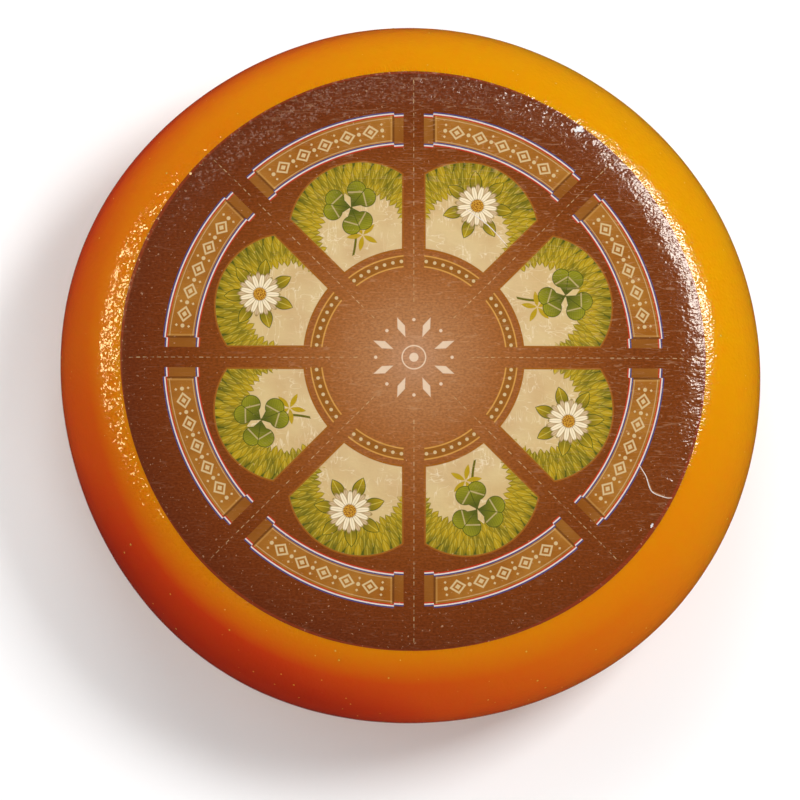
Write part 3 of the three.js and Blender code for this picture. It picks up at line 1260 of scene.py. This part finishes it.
class CHEESE_OT_nicks(bpy.types.Operator):
    """Turn up the torn flaps at the label's edge"""

    bl_idname = "cheese.nicks"
    bl_label = "Make Nicks"

    def execute(self, context):
        surface = FilmSurface()
        # The flaps' white is the film's back, and partly a painted highlight where they curl up.
        tree = flap_tree(white_film_and_highlight_material("film_back_and_highlight"))
        for index, (x, y, bearing, length) in enumerate(NICKS):
            values = {"Length": length * MM, "Width": 0.5 * length * MM, "Lift": 0.16 * length * MM}
            flap = grow("label_nick_" + str(index + 1), tree, values)
            place, up = surface.at(x, y)
            along = Vector((math.cos(math.radians(bearing)), math.sin(math.radians(bearing)), 0))
            along = (along - up * along.dot(up)).normalized()
            turn = Matrix((along, up.cross(along), up)).transposed().to_4x4()
            flap.data.transform(Matrix.Translation(place) @ turn)
            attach(flap, BODY)
        return {"FINISHED"}


# --------------------------------------------------------------------------------------------------
# The stage
# --------------------------------------------------------------------------------------------------

IMAGE_PIXELS = 800
WHEEL_PIXEL = (410.8, 372.6)
SENSOR = 36.0
CAMERA_LEAN = 8.0
CAMERA_BEARING = 9.0
FLOOR_REACH = 12.0
WHITE = (1.0, 1.0, 1.0)
CREAM_LIGHT = (1.0, 0.95, 0.86)
WARM_LIGHT = (1.0, 0.86, 0.70)
YELLOW_LIGHT = (1.0, 0.88, 0.44)


def pointed(thing, place, target):
    """Puts a light at a place and points it at a target."""
    thing.location = place
    thing.rotation_euler = (Vector(target) - Vector(place)).to_track_quat("-Z", "Y").to_euler()


def from_middle(bearing, elevation, distance):
    """A place seen from the middle of the wheel at a bearing and an elevation in degrees."""
    bearing = math.radians(bearing)
    elevation = math.radians(elevation)
    flat = distance * math.cos(elevation)
    return Vector((flat * math.cos(bearing), flat * math.sin(bearing), distance * math.sin(elevation)))


def soft_light(name, power, size, place, colour=None):
    """A rectangular light that points at the wheel: a white one lights matt surfaces and isn't mirrored,
    and a coloured one only shows in the gloss."""
    data = bpy.data.lights.new(name, "AREA")
    data.shape = "RECTANGLE"
    data.energy = power
    data.color = colour or WHITE
    data.size, data.size_y = size
    light = bpy.data.objects.new(name, data)
    light.visible_diffuse = colour is None
    light.visible_glossy = colour is not None
    bpy.context.scene.collection.objects.link(light)
    pointed(light, place, (0, 0, HALF_SIDE))


def make_floor(settings):
    mesh = bpy.data.meshes.new("floor")
    reach = FLOOR_REACH
    corners = [(-reach, -reach, 0), (reach, -reach, 0), (reach, reach, 0), (-reach, reach, 0)]
    mesh.from_pydata(corners, [], [(0, 1, 2, 3)])
    floor = bpy.data.objects.new("floor", mesh)
    bpy.context.scene.collection.objects.link(floor)
    material, nodes, _ = new_material("floor_paint")
    nodes.surface({"Base Color": (*settings.floor, 1), "Roughness": 0.9})
    mesh.materials.append(material)
    floor.visible_glossy = False  # so the coating keeps its full colour where it turns down to the floor


def make_camera(settings):
    """The camera above the wheel, leaning towards its front, with the wheel at its pixel."""
    data = bpy.data.cameras.new("camera")
    data.sensor_width = SENSOR
    data.lens = settings.lens
    camera = bpy.data.objects.new("camera", data)
    bpy.context.scene.collection.objects.link(camera)
    lean = math.radians(CAMERA_LEAN)
    bearing = math.radians(CAMERA_BEARING)
    flat = math.sin(lean)
    back = Vector((-flat * math.sin(bearing), -flat * math.cos(bearing), math.cos(lean)))
    right = Vector((0, 1, 0)).cross(back).normalized()
    up = back.cross(right)
    middle = Vector((0, 0, HALF_SIDE))
    distance = settings.distance + HALF_SIDE
    metres_per_pixel = SENSOR / settings.lens * distance / IMAGE_PIXELS
    half = IMAGE_PIXELS / 2
    aside = (half - WHEEL_PIXEL[0]) * metres_per_pixel
    raised = (WHEEL_PIXEL[1] - half) * metres_per_pixel
    place = middle + back * distance + right * aside + up * raised
    turn = Matrix((right, up, back)).transposed()
    camera.matrix_world = Matrix.Translation(place) @ turn.to_4x4()
    bpy.context.scene.camera = camera


def make_sky(settings):
    """Even light from all round, in front of a paler backdrop. Gloss shows a darker room."""
    world = bpy.data.worlds.new("studio")
    world.use_nodes = True
    world.node_tree.nodes.clear()
    nodes = Nodes(world.node_tree)
    seen = nodes.add("ShaderNodeLightPath", None, None, "Is Camera Ray")
    mirrored = Socket(nodes, seen.link.node.outputs["Is Glossy Ray"])
    strength = settings.sky_strength + seen * (settings.sky_shown - settings.sky_strength)
    strength = strength + mirrored * (settings.sky_mirrored - settings.sky_strength)
    sky = nodes.add("ShaderNodeBackground", None, {"Color": (1, 1, 1, 1), "Strength": strength})
    nodes.add("ShaderNodeOutputWorld", None, {"Surface": sky})
    bpy.context.scene.world = world


class CHEESE_OT_stage(bpy.types.Operator):
    """Make the floor, the lights and the camera"""

    bl_idname = "cheese.stage"
    bl_label = "Make Stage"

    def execute(self, context):
        settings = context.scene.cheese_stage
        make_camera(settings)
        make_floor(settings)
        make_sky(settings)
        soft_light("key", settings.key_power, (0.6, 0.6), from_middle(28, 55, 1.9))
        soft_light("top", settings.top_power, (1.0, 0.7), from_middle(100, 50, 1.9))
        soft_light("side", settings.side_power, (1.1, 0.2), from_middle(163, 29, 1.3))
        soft_light("fill", settings.fill_power, (1.2, 1.2), from_middle(-70, 35, 2.0))
        soft_light("key_gloss", settings.key_gloss, (1.0, 0.48), from_middle(30, 37.5, 1.9), CREAM_LIGHT)
        soft_light("top_gloss", settings.top_gloss, (0.9, 0.35), from_middle(98, 52, 1.9), WARM_LIGHT)
        soft_light("side_gloss", settings.side_gloss, (0.6, 0.22), from_middle(166, 28, 1.3), YELLOW_LIGHT)
        context.scene.view_settings.view_transform = "Standard"
        return {"FINISHED"}


# --------------------------------------------------------------------------------------------------
# The add-on
# --------------------------------------------------------------------------------------------------


class CHEESE_PT_wheel(bpy.types.Panel):
    """Lists what the add-on makes"""

    bl_idname = "CHEESE_PT_wheel"
    bl_label = "Cheese Wheel"
    bl_space_type = "VIEW_3D"
    bl_region_type = "UI"
    bl_category = "Cheese Wheel"

    def draw(self, context):
        for operator in OPERATORS:
            self.layout.operator(operator.bl_idname)


OPERATORS = (
    CHEESE_OT_stage,
    CHEESE_OT_rind,
    CHEESE_OT_bubbles,
    CHEESE_OT_label,
    CHEESE_OT_creases,
    CHEESE_OT_nicks,
)
SETTINGS = {"cheese_rind": RindSettings, "cheese_label": LabelSettings, "cheese_stage": StageSettings}
CLASSES = (*SETTINGS.values(), *OPERATORS, CHEESE_PT_wheel)


def register():
    for made in CLASSES:
        bpy.utils.register_class(made)
    for name, kind in SETTINGS.items():
        setattr(bpy.types.Scene, name, PointerProperty(type=kind))


def unregister():
    for name in SETTINGS:
        delattr(bpy.types.Scene, name)
    for made in reversed(CLASSES):
        bpy.utils.unregister_class(made)


def main():
    register()
    bpy.ops.cheese.stage()
    bpy.ops.cheese.rind()
    bpy.ops.cheese.bubbles()
    bpy.ops.cheese.label()
    bpy.ops.cheese.creases()
    bpy.ops.cheese.nicks()


if __name__ == "__main__":
    main()
